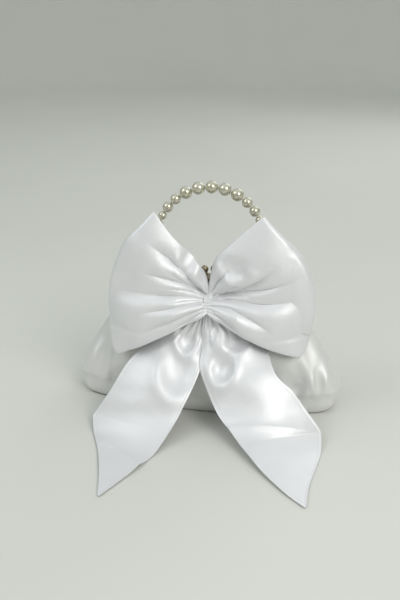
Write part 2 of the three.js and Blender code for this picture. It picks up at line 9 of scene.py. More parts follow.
import bpy
import numpy as np
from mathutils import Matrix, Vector


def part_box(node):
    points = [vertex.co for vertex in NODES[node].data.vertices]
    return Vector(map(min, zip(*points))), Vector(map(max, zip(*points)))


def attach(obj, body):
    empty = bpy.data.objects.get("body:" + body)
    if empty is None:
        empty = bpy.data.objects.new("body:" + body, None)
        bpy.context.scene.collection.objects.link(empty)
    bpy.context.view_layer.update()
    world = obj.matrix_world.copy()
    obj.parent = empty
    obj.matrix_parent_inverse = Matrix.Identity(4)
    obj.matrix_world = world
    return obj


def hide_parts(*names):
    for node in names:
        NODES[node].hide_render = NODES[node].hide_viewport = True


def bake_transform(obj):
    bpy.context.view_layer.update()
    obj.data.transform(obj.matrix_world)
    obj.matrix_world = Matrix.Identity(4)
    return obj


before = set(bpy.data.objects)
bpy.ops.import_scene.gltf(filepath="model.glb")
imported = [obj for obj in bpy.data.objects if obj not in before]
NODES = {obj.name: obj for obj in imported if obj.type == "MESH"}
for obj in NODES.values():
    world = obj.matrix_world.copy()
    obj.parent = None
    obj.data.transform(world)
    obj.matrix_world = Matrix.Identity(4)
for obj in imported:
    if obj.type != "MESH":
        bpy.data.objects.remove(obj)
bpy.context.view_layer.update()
MM = 0.001


def low(node, axis):
    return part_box(node)[0]["xyz".index(axis)]


def high(node, axis):
    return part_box(node)[1]["xyz".index(axis)]


# ---- Sizes: most read from the imported frame, the rest given ----
FRAME_HALF = high("front_frame", "x")
FRAME_TOP = high("front_frame", "z")
CHANNEL_DEEP = 7 * MM
CHANNEL_WALL = 1.2 * MM
CHANNEL_MID = 3.15 * MM
HALF_GAP = 0.3 * MM
CORNER = 28 * MM
HINGE_Z = (low("hinge_rivet_left", "z") + high("hinge_rivet_left", "z")) / 2
BASE_HALF = high("base_panel", "x")
BASE_DEPTH = high("base_panel", "y")
BELLY_HALF = high("front_panel", "x")
BELLY_DEPTH = -low("front_panel", "y")
BELLY_Z = 22 * MM
GATHER_Z = (low("bow_gather", "z") + high("bow_gather", "z")) / 2
REACH = {-1: -low("bow_loop_left", "x"), 1: high("bow_loop_right", "x")}
BOW_LOW = low("bow_loop_right", "z")
BOW_TOP = high("bow_loop_right", "z")


# ---- Small mathematics ----
def smooth(x, a, b):
    """0 below a, 1 above b, and smooth between."""
    t = np.clip((x - a) / (b - a), 0, 1)
    return t * t * (3 - 2 * t)


def bump(x, middle, width):
    return np.exp(-(((x - middle) / width) ** 2))


def spline(points, t):
    """Points at the shares t of the length of a smooth curve through points."""
    p = np.array(points, float)
    fine = []
    padded = np.vstack([2 * p[0] - p[1], p, 2 * p[-1] - p[-2]])
    for a, b, c, d in zip(padded, padded[1:], padded[2:], padded[3:]):
        knots = [0.0]
        for one, two in ((a, b), (b, c), (c, d)):
            knots.append(knots[-1] + math.sqrt(max(np.linalg.norm(two - one), 1e-9)))
        k0, k1, k2, k3 = knots
        for k in np.linspace(k1, k2, 24, endpoint=False):
            ab = a + (b - a) * (k - k0) / (k1 - k0)
            bc = b + (c - b) * (k - k1) / (k2 - k1)
            cd = c + (d - c) * (k - k2) / (k3 - k2)
            abc = ab + (bc - ab) * (k - k0) / (k2 - k0)
            bcd = bc + (cd - bc) * (k - k1) / (k3 - k1)
            fine.append(abc + (bcd - abc) * (k - k1) / (k2 - k1))
    fine = np.array(fine + [p[-1]])
    along = np.concatenate([[0], np.cumsum(np.linalg.norm(np.diff(fine, axis=0), axis=1))])
    t = np.asarray(t, float) * along[-1]
    return np.stack([np.interp(t, along, fine[:, k]) for k in range(p.shape[1])], axis=-1)


def through(points):
    """A smooth function through (x, y) points."""
    xs, ys = np.array(points, float).T
    slopes = np.diff(ys) / np.diff(xs)
    tangent = np.concatenate([[slopes[0]], (slopes[1:] + slopes[:-1]) / 2, [slopes[-1]]])
    flat = np.concatenate([[False], slopes[1:] * slopes[:-1] <= 0, [False]])
    tangent[flat] = 0

    def value(x):
        x = np.clip(x, xs[0], xs[-1])
        i = np.clip(np.searchsorted(xs, x) - 1, 0, len(xs) - 2)
        w = xs[i + 1] - xs[i]
        t = (x - xs[i]) / w
        h = t * t * (3 - 2 * t)
        turn = t * (1 - t) * ((1 - t) * tangent[i] - t * tangent[i + 1])
        return ys[i] + (ys[i + 1] - ys[i]) * h + w * turn

    return value


def ripple(x, y, seed, scale):
    """Smooth seeded unevenness between about -1 and 1."""
    rng = np.random.default_rng(seed)
    total = np.zeros(np.broadcast(x, y).shape)
    for octave in range(3):
        for _ in range(4):
            a = rng.uniform(0, 2 * math.pi)
            k = 2 * math.pi * (1.6**octave) / scale * rng.uniform(0.7, 1.3)
            phase = rng.uniform(0, 6.28)
            wave = np.sin(k * (x * math.cos(a) + y * math.sin(a)) + phase)
            total = total + wave / (1.8**octave)
    return total / 5


# ---- Meshes ----
def link(name, points, faces, material):
    mesh = bpy.data.meshes.new(name)
    mesh.from_pydata([tuple(p) for p in points], [], faces)
    mesh.validate()
    mesh.polygons.foreach_set("use_smooth", [True] * len(mesh.polygons))
    mesh.update()
    obj = bpy.data.objects.new(name, mesh)
    bpy.context.scene.collection.objects.link(obj)
    obj.data.materials.append(material)
    return obj


def grid_faces(rows, columns, round_it=False, start=0):
    faces = []
    for i in range(rows - 1):
        for j in range(columns if round_it else columns - 1):
            a = start + i * columns + j
            b = start + i * columns + (j + 1) % columns
            faces.append((a, b, b + columns, a + columns))
    return faces


def grid(name, points, material):
    """An open sheet through a rows x columns array of points."""
    rows, columns = points.shape[:2]
    return link(name, points.reshape(-1, 3), grid_faces(rows, columns), material)


def normals_of(points):
    du = np.gradient(points, axis=0)
    dv = np.gradient(points, axis=1)
    n = np.cross(du, dv)
    return n / np.maximum(np.linalg.norm(n, axis=2, keepdims=True), 1e-12)


def cloth(name, points, material, thick, inward=None):
    """A closed thin cloth: a skin through points and another behind it, joined round the edge."""
    rows, columns = points.shape[:2]
    normal = normals_of(points)
    if inward is not None and (normal * np.asarray(inward)).sum() < 0:
        normal = -normal
    behind = points + normal * thick
    n = rows * columns
    faces = grid_faces(rows, columns)
    faces += [tuple(n + k for k in reversed(face)) for face in grid_faces(rows, columns)]
    rim = [(0, j) for j in range(columns)] + [(i, columns - 1) for i in range(1, rows)]
    rim += [(rows - 1, j) for j in range(columns - 2, -1, -1)] + [(i, 0) for i in range(rows - 2, 0, -1)]
    rim = [i * columns + j for i, j in rim]
    faces += [(a, n + a, n + b, b) for a, b in zip(rim, rim[1:] + rim[:1])]
    obj = link(name, np.concatenate([points.reshape(-1, 3), behind.reshape(-1, 3)]), faces, material)
    return face_out(obj)


def face_out(obj):
    """Turns the faces round if the solid is inside out."""
    mesh = obj.data
    mesh.calc_loop_triangles()
    p = np.array([v.co for v in mesh.vertices])
    t = np.array([tri.vertices for tri in mesh.loop_triangles])
    if (p[t[:, 0]] * np.cross(p[t[:, 1]], p[t[:, 2]])).sum() < 0:
        mesh.flip_normals()
    return obj


def loft(name, rings, material):
    """A closed solid through rings of points; each end is closed round its middle."""
    rings = np.asarray(rings)
    rows, columns = rings.shape[:2]
    faces = grid_faces(rows, columns, round_it=True)
    points = rings.reshape(-1, 3)
    for row, flip in ((0, True), (rows - 1, False)):
        middle = len(points)
        points = np.vstack([points, rings[row].mean(axis=0)])
        for j in range(columns):
            a, b = row * columns + j, row * columns + (j + 1) % columns
            faces.append((b, a, middle) if flip else (a, b, middle))
    return face_out(link(name, points, faces, material))


def endless(name, rings, material):
    """A closed solid through rings of points, with the last one joined to the first."""
    rings = np.asarray(rings)
    rows, columns = rings.shape[:2]
    count = rows * columns
    faces = grid_faces(rows + 1, columns, round_it=True)
    faces = [tuple(k % count for k in face) for face in faces]
    return face_out(link(name, rings.reshape(-1, 3), faces, material))


def tube(name, path, radius, material, sides=14, closed=False):
    """A round tube along path, an array of points; radius may be one value or one a point."""
    path = np.asarray(path, float)
    radius = np.broadcast_to(radius, len(path))
    ahead = np.gradient(path, axis=0)
    if closed:
        ahead = np.roll(path, -1, axis=0) - np.roll(path, 1, axis=0)
    ahead /= np.linalg.norm(ahead, axis=1, keepdims=True)
    up = np.eye(3)[abs(ahead).max(axis=0).argmin()]  # the axis that the path keeps furthest from
    side = np.cross(ahead, up)
    side /= np.linalg.norm(side, axis=1, keepdims=True)
    other = np.cross(ahead, side)
    a = np.linspace(0, 2 * math.pi, sides, endpoint=False)
    rings = path[:, None] + radius[:, None, None] * (
        np.cos(a)[None, :, None] * side[:, None] + np.sin(a)[None, :, None] * other[:, None])
    return (endless if closed else loft)(name, rings, material)


def turned(name, outline, origin, axis, material, segments=48):
    """A solid of revolution from [distance along, radius] points, pierced if they end where they start."""
    along = Vector(axis).normalized()
    side = along.orthogonal().normalized()
    other = along.cross(side)
    a = np.linspace(0, 2 * math.pi, segments, endpoint=False)[:, None]
    around = np.cos(a) * np.array(side) + np.sin(a) * np.array(other)
    rings = [np.array(origin) + distance * np.array(along) + r * around for distance, r in outline]
    pierced = outline[0][1] > 0 and tuple(outline[0]) == tuple(outline[-1])
    return endless(name, rings[:-1], material) if pierced else loft(name, rings, material)


# ---- Materials ----
class Paint:
    """A node material with a Principled shader; the helpers add and join nodes."""

    def __init__(self, name, **sockets):
        self.material = bpy.data.materials.new(name)
        self.material.use_nodes = True
        self.tree = self.material.node_tree
        self.shader = next(n for n in self.tree.nodes if n.type == "BSDF_PRINCIPLED")
        for key, value in sockets.items():
            self.shader.inputs[key.replace("_", " ")].default_value = value
        self.place = self.node("ShaderNodeTexCoord").outputs["Object"]

    def node(self, kind, **settings):
        made = self.tree.nodes.new(kind)
        for key, value in settings.items():
            setattr(made, key, value)
        return made

    def join(self, a, b):
        self.tree.links.new(a, b)

    def noise(self, scale, detail=2.0, stretch=(1, 1, 1)):
        texture = self.node("ShaderNodeTexNoise")
        texture.inputs["Scale"].default_value = scale
        texture.inputs["Detail"].default_value = detail
        mapping = self.node("ShaderNodeMapping")
        mapping.inputs["Scale"].default_value = stretch
        self.join(self.place, mapping.inputs["Vector"])
        self.join(mapping.outputs["Vector"], texture.inputs["Vector"])
        return texture.outputs["Fac"]

    def weave(self, pitch, direction):
        wave = self.node("ShaderNodeTexWave", wave_type="BANDS", bands_direction=direction)
        wave.inputs["Scale"].default_value = 1 / (pitch * 20)
        wave.inputs["Distortion"].default_value = 0.6
        self.join(self.place, wave.inputs["Vector"])
        return wave.outputs["Fac"]

    def ramp(self, source, stops, socket):
        ramp = self.node("ShaderNodeValToRGB")
        while len(ramp.color_ramp.elements) < len(stops):
            ramp.color_ramp.elements.new(0.5)
        for element, (place, colour) in zip(ramp.color_ramp.elements, stops):
            element.position = place
            element.color = (*colour, 1)
        self.join(source, ramp.inputs["Fac"])
        self.join(ramp.outputs["Color"], self.shader.inputs[socket])

    def span(self, source, lowest, highest, socket):
        span = self.node("ShaderNodeMapRange")
        span.inputs["To Min"].default_value = lowest
        span.inputs["To Max"].default_value = highest
        self.join(source, span.inputs["Value"])
        self.join(span.outputs["Result"], self.shader.inputs[socket])

    def relief(self, sources, distances):
        """Bump from several heights, one after another."""
        before = None
        for source, distance in zip(sources, distances):
            made = self.node("ShaderNodeBump")
            made.inputs["Strength"].default_value = 1.0
            made.inputs["Distance"].default_value = distance
            self.join(source, made.inputs["Height"])
            if before is not None:
                self.join(before, made.inputs["Normal"])
            before = made.outputs["Normal"]
        self.join(before, self.shader.inputs["Normal"])


def satin(name, tint):
    """Heavy white satin: a soft wide gloss, fine threads, faint slubs and cloudy tint."""
    paint = Paint(name, Sheen_Weight=0.1, Sheen_Roughness=0.4, Specular_IOR_Level=0.5, Metallic=0.35)
    cloud = paint.noise(9.0, 3.0)
    shaded = tuple(0.955 * part for part in tint)
    paint.ramp(cloud, [(0.3, shaded), (0.7, tint)], "Base Color")
    paint.span(paint.noise(38.0, 2.0, (1, 3, 1)), 0.45, 0.52, "Roughness")
    threads = paint.weave(0.00028, "DIAGONAL")
    slubs = paint.noise(900.0, 2.0, (0.15, 1, 1))
    soft = paint.noise(60.0, 3.0)
    paint.relief([soft, slubs, threads], [0.0005, 0.00002, 0.000004])
    return paint.material


def lining_cloth():
    paint = Paint("lining_cloth", Sheen_Weight=0.15, Specular_IOR_Level=0.3)
    shaded, tint = (0.70, 0.67, 0.60), (0.76, 0.735, 0.67)
    paint.ramp(paint.noise(14.0, 3.0), [(0.3, shaded), (0.7, tint)], "Base Color")
    paint.span(paint.noise(60.0), 0.5, 0.66, "Roughness")
    threads = 0.4 * MM
    paint.relief([paint.weave(threads, "X"), paint.weave(threads, "Z")], [0.03 * MM, 0.03 * MM])
    return paint.material


def gold():
    """Pale gold plating, faintly brushed; its colour is darkened by painted shade, with random olive-brown
    patches of painted shade.
    """
    paint = Paint("pale_gold", Metallic=1.0)
    # Painted shade: the gold hue is the metal's own, but both tones are darkened, and the olive-brown one is
    # painted shade laid in random patches.
    painted_shade, bright = (0.26, 0.22, 0.15), (0.46, 0.40, 0.29)
    paint.ramp(paint.noise(140.0, 4.0), [(0.25, painted_shade), (0.75, bright)], "Base Color")
    paint.span(paint.noise(420.0, 3.0, (1, 6, 1)), 0.18, 0.34, "Roughness")
    paint.relief([paint.noise(700.0, 3.0, (0.3, 3, 1))], [0.00002])
    return paint.material


def pearl_gloss():
    """Imitation pearl: an ivory body with a green-grey and rose cast under a clear coat."""
    coat = dict(Coat_Weight=0.9, Coat_Roughness=0.06)
    paint = Paint("pearl_lustre", Metallic=0.65, Specular_IOR_Level=0.6, **coat)
    green, ivory, rose = (0.55, 0.525, 0.40), (0.62, 0.60, 0.48), (0.66, 0.62, 0.53)
    paint.ramp(paint.noise(120.0, 3.0), [(0.3, green), (0.5, ivory), (0.7, rose)], "Base Color")
    paint.span(paint.noise(260.0, 2.0), 0.16, 0.24, "Roughness")
    paint.relief([paint.noise(1500.0, 2.0)], [0.000015])
    return paint.material


def board():
    paint = Paint("fibre_board", Specular_IOR_Level=0.2)
    dark, light = (0.34, 0.28, 0.20), (0.48, 0.41, 0.30)
    paint.ramp(paint.noise(260.0, 5.0, (0.3, 1, 1)), [(0.3, dark), (0.7, light)], "Base Color")
    paint.span(paint.noise(300.0), 0.75, 0.95, "Roughness")
    paint.relief([paint.noise(900.0, 4.0)], [0.0001])
    return paint.material


def paper():
    paint = Paint("twisted_paper", Specular_IOR_Level=0.2)
    dark, light = (0.50, 0.44, 0.34), (0.66, 0.60, 0.49)
    # The dark bands fall in the grooves of the same twist that the relief below sinks: painted shade in the
    # grooves.
    paint.ramp(paint.weave(1.2 * MM, "DIAGONAL"), [(0.2, dark), (0.8, light)], "Base Color")
    paint.span(paint.noise(300.0), 0.8, 0.95, "Roughness")
    paint.relief([paint.weave(1.2 * MM, "DIAGONAL")], [0.2 * MM])
    return paint.material


def steel():
    paint = Paint("beading_wire", Metallic=1.0)
    paint.ramp(paint.noise(400.0), [(0.3, (0.45, 0.45, 0.43)), (0.7, (0.6, 0.6, 0.58))], "Base Color")
    paint.span(paint.noise(900.0), 0.25, 0.4, "Roughness")
    return paint.material


WHITE = satin("white_satin", (0.82, 0.82, 0.84))
# The body's satin is a slightly darker, warmer copy of the bow's satin: painted shade for the body, which
# stands in the bow's shade.
BODY_WHITE = satin("white_satin_body", (0.80, 0.80, 0.79))
LINING = lining_cloth()
GOLD = gold()
PEARL = pearl_gloss()
BOARD = board()
PAPER = paper()
STEEL = steel()
FLOOR = Paint("floor")
FLOOR.ramp(FLOOR.noise(3.0, 2.0), [(0.3, (0.665, 0.67, 0.63)), (0.7, (0.69, 0.695, 0.655))], "Base Color")
FLOOR.shader.inputs["Roughness"].default_value = 0.85


# ---- Camera, floor and light ----
def make_camera():
    target = Vector((-4 * MM, -28 * MM, 110 * MM))
    azimuth, elevation, distance = math.radians(10), math.radians(23), 0.695
    level = math.cos(elevation)
    back = Vector((math.sin(azimuth) * level, -math.cos(azimuth) * level, math.sin(elevation)))
    camera = bpy.data.objects.new("camera", bpy.data.cameras.new("camera"))
    bpy.context.scene.collection.objects.link(camera)
    camera.location = target + back * distance
    camera.rotation_euler = (-back).to_track_quat("-Z", "Y").to_euler()
    camera.data.lens = 46
    camera.data.sensor_width = 36
    camera.data.clip_start = 0.01
    bpy.context.scene.camera = camera


def area_light(name, place, aim, size, power, colour):
    light = bpy.data.lights.new(name, "AREA")
    light.shape = "DISK"
    light.size = size
    light.energy = power
    light.color = colour
    obj = bpy.data.objects.new(name, light)
    obj.location = place
    obj.rotation_euler = (Vector(aim) - Vector(place)).to_track_quat("-Z", "Y").to_euler()
    bpy.context.scene.collection.objects.link(obj)


def make_stage():
    """A wide pale floor that curves up into a wall far off, all round."""
    flat, bend, wall = 2.2, 0.6, 2.4
    profile = [(0.001, 0.0), (0.8, 0.0), (flat, 0.0)]
    profile += [(flat + bend * math.sin(a), bend - bend * math.cos(a)) for a in np.linspace(0.1, 1.5, 12)]
    profile += [(flat + bend, bend + 0.1), (flat + bend, wall)]
    turns = np.linspace(0, 2 * math.pi, 97)
    points = np.array([[(r * math.cos(a), r * math.sin(a), z - 0.0002) for r, z in profile] for a in turns])
    floor = grid("floor", points, FLOOR.material)
    world = bpy.data.worlds.new("soft_room")
    bpy.context.scene.world = world
    world.use_nodes = True
    background = world.node_tree.nodes["Background"]
    background.inputs["Color"].default_value = (0.82, 0.86, 0.86, 1)
    background.inputs["Strength"].default_value = 0.83
    area_light("key", (0.80, -0.85, 0.95), (0, -0.03, 0.1), 0.85, 8.0, (1.0, 0.985, 0.96))
    area_light("window", (-0.9, -0.5, 1.1), (0, 0, 0.1), 0.9, 3.5, (0.95, 0.98, 1.0))
    area_light("back_fill", (0.5, 1.3, 0.9), (0, 0, 0.08), 1.1, 3.5, (0.98, 0.99, 1.0))
    bpy.context.scene.view_settings.view_transform = "Standard"


make_camera()
make_stage()


# ---- The soft body ----
CORNER_X = FRAME_HALF - CORNER
CORNER_Z = FRAME_TOP - CORNER
INNER_CORNER = CORNER - CHANNEL_DEEP
CHANNEL_LOW = FRAME_TOP - CHANNEL_DEEP
IN_CHANNEL = 3.5 * MM  # how far the cloth reaches into the channel
LUG = 4 * MM
BASE_ROUND = 3 * MM  # the curl at the foot of the walls

side_swell = through([
    (0, BASE_HALF),
    (0.006, BASE_HALF + 5 * MM),
    (0.9 * BELLY_Z, BELLY_HALF - 0.9 * MM),
    (BELLY_Z, BELLY_HALF),
    (1.15 * BELLY_Z, BELLY_HALF - 1.2 * MM),
    (0.045, 0.55 * BELLY_HALF + 0.45 * (FRAME_HALF + 0.012)),
    (HINGE_Z - 2.2 * LUG, FRAME_HALF + 5 * MM),
])
front_swell = through([
    (0, BASE_DEPTH),
    (0.006, BASE_DEPTH + 2 * MM),
    (BELLY_Z, BELLY_DEPTH),
    (0.4 * FRAME_TOP, BELLY_DEPTH - 3 * MM),
    (0.65 * FRAME_TOP, 0.7 * BELLY_DEPTH),
    (0.85 * FRAME_TOP, 0.36 * BELLY_DEPTH + 1 * MM),
    (CHANNEL_LOW, CHANNEL_MID + 2.2 * MM),
    (CHANNEL_LOW + IN_CHANNEL, CHANNEL_MID + 0.6 * MM),
])


def half_width(z):
    """Half the soft body's width at height z: free below the hinge, held in the channel above it."""
    free = side_swell(z)
    r = INNER_CORNER + IN_CHANNEL
    inside = FRAME_HALF - CHANNEL_DEEP + IN_CHANNEL
    held = np.where(
        z < CORNER_Z, inside, CORNER_X + np.sqrt(np.maximum(r**2 - np.maximum(z - CORNER_Z, 0) ** 2, 0)))
    w = smooth(z, HINGE_Z - 2.2 * LUG, HINGE_Z - 0.6 * LUG)
    return free * (1 - w) + held * w


def edge_depth(z):
    return 0.2 * MM + (CHANNEL_MID - 0.2 * MM) * smooth(z, HINGE_Z - 2.2 * LUG, HINGE_Z - 0.3 * LUG)


def plan_depth(s, z):
    """The share of the swell left at s across: rounded above, with a narrow flat end low down."""
    round_plan = (1 - np.abs(s) ** 2.4) ** (1 / 1.5)
    boxy_plan = (1 - 0.50 * s * s) * (1 - np.abs(s) ** 44) ** (1 / 1.8)
    w = 1 - smooth(z, 0.032, 0.075)
    return round_plan * (1 - w) + boxy_plan * w


def body_depth(x, z):
    """How far in front of the closing plane the body's front lies at x and z."""
    edge = edge_depth(z)
    return edge + (front_swell(z) - edge) * plan_depth(np.clip(x / half_width(z), -1, 1), z)


def tuck_under(z):
    """How far the wall curls in near the floor."""
    return BASE_ROUND - np.sqrt(np.maximum(BASE_ROUND**2 - np.maximum(BASE_ROUND - z, 0) ** 2, 0))


def body_skin(side, rows=120, columns=230, inset=0.0, top=None, seed=3):
    """The cloth of one side as a grid, from the base seam up into the channel."""
    top = top or CHANNEL_LOW + IN_CHANNEL - 0.3 * MM
    bottom = 0.5 * MM + inset
    t = np.linspace(0, 1, rows)[:, None] ** 1.25
    s = np.sin(np.linspace(-1, 1, columns) * math.pi / 2)[None, :]
    t, s = np.broadcast_arrays(t, s)
    z = bottom + (top - bottom) * t
    under = inset + tuck_under(z - inset)
    edge = edge_depth(z)
    depth = edge + (front_swell(z) - under - edge) * plan_depth(s, z)
    x = s * (half_width(z) - under)
    points = np.stack([x, side * depth, z], axis=-1)
    normal = normals_of(points)
    if (normal[..., 1] * side).sum() < 0:
        normal = -normal
    return points + normal * body_folds(x, z, s, seed)[..., None]


# The long slack creases near each end: where each crosses the hinge's height, its width and depth, all in
# mm, and its slope.
END_CREASES = [
    (86, 5.0, -1.7, 0.42),
    (104, 6.0, -1.2, 0.26),
    (67, 5.5, -1.0, 0.55),
]


def swag(x, z, place, size, deep):
    """A hollow with a lip round its lower half, as where slack cloth hangs between two pulls. In mm."""
    across, up = (x / MM - place[0]) / size[0], (z / MM - place[1]) / size[1]
    r = np.hypot(across, up)
    lip = np.exp(-(((r - 1.05) / 0.38) ** 2)) * smooth(-up, -0.6, 0.3)
    return deep * MM * (0.5 * lip - np.exp(-((r / 0.8) ** 2.4)))


# Hollows of the body's front and back: the middle, the half width and half height, and the depth, in mm.
BODY_SWAGS = [
    ((-102, 44), (8, 24), 2.6),
    ((-84, 26), (11, 13), 2.2),
    ((86, 34), (12, 15), 3.0),
    ((108, 40), (6, 20), 2.0),
    ((30, 20), (22, 12), 1.8),
]


GATHER_PITCH = 12.5 * MM


def body_folds(x, z, s, seed):
    """How far the cloth stands out: gathers below the channel, slack dents and creases at the ends."""
    free = smooth(z, 1 * MM, 12 * MM) * (1 - smooth(z, CHANNEL_LOW - 8 * MM, CHANNEL_LOW))
    free = free * (1 - np.abs(s) ** 10)
    phase = 2 * math.pi * (x / GATHER_PITCH + 0.35 * ripple(x, z * 0.4, seed, 0.05))
    gathers = 0.9 * MM * np.sin(phase) * smooth(z, CHANNEL_LOW - 34 * MM, CHANNEL_LOW - 8 * MM)
    gathers = gathers * (0.6 + 0.4 * ripple(x, 0 * z, seed + 1, 0.06))
    held = smooth(z, CHANNEL_LOW - 2 * MM, CHANNEL_LOW + 0.5 * MM)
    gathers = gathers * (1 - held) * (1 - np.abs(s) ** 6)
    slack = 1.5 * MM * ripple(x, z * 0.7, seed + 2, 0.13) + 0.45 * MM * ripple(x, z, seed + 4, 0.045)
    ends = 0
    for hand in (-1, 1):
        for place, width, deep, slope in END_CREASES:
            line = hand * x - place * MM - slope * (HINGE_Z - z)
            ends = ends + deep * MM * bump(line, 0, width * MM) * bump(z, 50 * MM, 26 * MM)
    dip = -1.6 * MM * bump(z, 0.016, 0.007) * (0.5 + 0.5 * ripple(x, z * 0, seed + 5, 0.09))
    swags = sum(swag(x, z, place, size, deep) for place, size, deep in BODY_SWAGS)
    return gathers + free * (slack + ends + dip + swags)


def body_cloth(name, side, slot, nodes, thick, material, flat, held, rests_on, **skin):
    """One side's cloth: the front rides the bag; the back is baked in place and does not move with the frame.
    """
    piece = cloth(name, body_skin(side, **skin), material, thick, inward=(0, -side, 0))
    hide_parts(*nodes)
    if side < 0:
        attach(piece, "bag")
    else:
        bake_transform(piece)


def make_body():
    outer = dict(slot="satin", thick=1.0 * MM, material=BODY_WHITE, flat=(0.27, 0.135), held="stretched")
    body_cloth("satin_front", -1, nodes=["front_panel"], rests_on=["front_frame", "base_panel"], **outer)
    body_cloth(
        "satin_back", 1, nodes=["back_panel_lower", "back_panel_upper"],
        rests_on=["back_frame", "base_panel"], seed=11, **outer)
    inner = dict(slot="lining", thick=0.5 * MM, material=LINING, flat=(0.26, 0.13), held="hung",
                 rests_on=["base_board"], rows=70, columns=120, inset=2.4 * MM, top=CHANNEL_LOW - 3 * MM)
    body_cloth("lining_front_cloth", -1, nodes=["lining_front"], **inner)
    body_cloth("lining_back_cloth", 1, nodes=["lining_back_lower", "lining_back_upper"], seed=11, **inner)
    make_side_seams()
    make_base()
    NODES["lining_base"].data.materials[0] = LINING
    NODES["base_board"].data.materials[0] = BOARD


def make_side_seams():
    """The narrow sewn ridge where front and back cloth meet at each end."""
    for name, hand in (("left", -1), ("right", 1)):
        z = np.linspace(BASE_ROUND, HINGE_Z - 2.4 * LUG, 60)
        path = np.stack([hand * (half_width(z) - 0.3 * MM), 0 * z, z], axis=-1)
        seam = tube(f"side_seam_{name}", path, 0.9 * MM, BODY_WHITE, sides=10)
        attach(seam, "bag")


def make_base():
    """The flat bottom, sewn in just inside the curled-under walls."""
    s = np.sin(np.linspace(-1, 1, 61) * math.pi / 2)
    plan = plan_depth(s, 0.0)
    rings = []
    for z, inset in ((0.2, 2.6), (0.0, 3.4), (2.0, 3.4)):
        x = s * (BASE_HALF - inset * MM)
        y = plan * (BASE_DEPTH - inset * MM)
        around = np.concatenate([np.stack([x, -y], 1), np.stack([x[-2:0:-1], y[-2:0:-1]], 1)])
        rings.append(np.concatenate([around, np.full((len(around), 1), z * MM)], 1))
    base = loft("satin_base", [rings[1], rings[0], rings[2]], BODY_WHITE)
    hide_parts("base_panel")
    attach(base, "bag")


# ---- The bow ----
def along_curve(points, x, z):
    """Distance from each (x, z) to a curve, and the share of the curve's length at the nearest place."""
    shares = np.linspace(0, 1, 70)
    curve = spline(points, shares)
    nearest = np.full(x.shape, 1e9)
    share = np.zeros(x.shape)
    for (cx, cz), t in zip(curve, shares):
        d = np.hypot(x - cx, z - cz)
        share = np.where(d < nearest, t, share)
        nearest = np.minimum(nearest, d)
    return nearest, share


def bow_back(x, z, stand_off):
    """How far in front of the closing plane the bow's hidden side lies."""
    body = body_depth(x, np.minimum(z, CHANNEL_LOW)) + stand_off
    rail = 9.5 * MM
    return 0.5 * (body + rail + np.sqrt((body - rail) ** 2 + (3 * MM) ** 2))


BOW_X = 3.3 * MM  # the pinch sits a little to the right

# A loop's outline, as shares of its reach and height from the pinch outwards.
LOOP_TOPS = {
    -1: [(0, 0.463), (0.016, 0.52), (0.055, 0.616), (0.15, 0.705), (0.335, 0.842), (0.43, 0.925),
         (0.52, 1)],
    1: [(0, 0.463), (0.010, 0.52), (0.030, 0.61), (0.082, 0.712), (0.225, 0.815), (0.40, 0.925),
        (0.52, 1)],
}
LOOP_LOWS = {
    -1: [(0, 0.355), (0.10, 0.315), (0.21, 0.277), (0.43, 0.20), (0.62, 0.13), (0.78, 0.075),
         (0.885, 0.035)],
    1: [(0, 0.355), (0.10, 0.320), (0.21, 0.285), (0.43, 0.22), (0.62, 0.165), (0.78, 0.12),
        (0.90, 0.09)],
}
LOOP_SIDES = {
    -1: [(0.885, 0.035), (0.93, 0.07), (0.985, 0.20), (1, 0.36), (0.98, 0.50), (0.91, 0.66), (0.80, 0.81),
         (0.67, 0.90), (0.595, 0.95), (0.52, 1)],
    1: [(0.90, 0.09), (0.945, 0.13), (0.985, 0.25), (1, 0.40), (0.985, 0.55), (0.92, 0.68), (0.80, 0.81),
        (0.67, 0.90), (0.595, 0.95), (0.52, 1)],
}
LOOP_THICK = through([
    (0, 12 * MM), (0.12, 18 * MM), (0.3, 23 * MM), (0.6, 24 * MM), (0.88, 20 * MM), (1, 16 * MM)])

# Each crease of a loop's front: its places as shares of reach and height, then depth and far width in mm.
CREASES = {
    -1: [
        ([(0.03, 0.46), (0.12, 0.518), (0.21, 0.595), (0.33, 0.677), (0.58, 0.82)], 10.0, 8),
        ([(0.03, 0.452), (0.18, 0.53), (0.45, 0.66)], 3.8, 5),
        ([(0.03, 0.445), (0.246, 0.537), (0.68, 0.63)], 6.9, 7),
        ([(0.03, 0.435), (0.20, 0.490), (0.48, 0.525)], 3.2, 4),
        ([(0.03, 0.43), (0.21, 0.456), (0.66, 0.46)], 6.2, 6),
        ([(0.03, 0.42), (0.21, 0.430), (0.42, 0.415)], 3.2, 4),
        ([(0.03, 0.415), (0.21, 0.405), (0.66, 0.350)], 7.5, 6),
        ([(0.03, 0.395), (0.21, 0.343), (0.70, 0.195)], 6.9, 8),
        ([(0.03, 0.380), (0.17, 0.310), (0.40, 0.225)], 4.2, 4),
    ],
    1: [
        ([(0.03, 0.475), (0.10, 0.56), (0.22, 0.665)], 8.8, 4),
        ([(0.04, 0.46), (0.20, 0.53), (0.40, 0.62)], 4.2, 5),
        ([(0.04, 0.45), (0.435, 0.57), (0.70, 0.73)], 8.8, 8),
        ([(0.04, 0.44), (0.30, 0.50), (0.548, 0.541), (0.95, 0.65)], 7.5, 7),
        ([(0.04, 0.43), (0.25, 0.475), (0.50, 0.50)], 3.2, 4),
        ([(0.04, 0.425), (0.25, 0.45), (0.55, 0.445), (0.93, 0.49)], 7.2, 7),
        ([(0.04, 0.40), (0.24, 0.405), (0.44, 0.35), (0.70, 0.26)], 7.2, 7),
        ([(0.03, 0.380), (0.17, 0.330), (0.40, 0.235)], 4.2, 4),
    ],
}
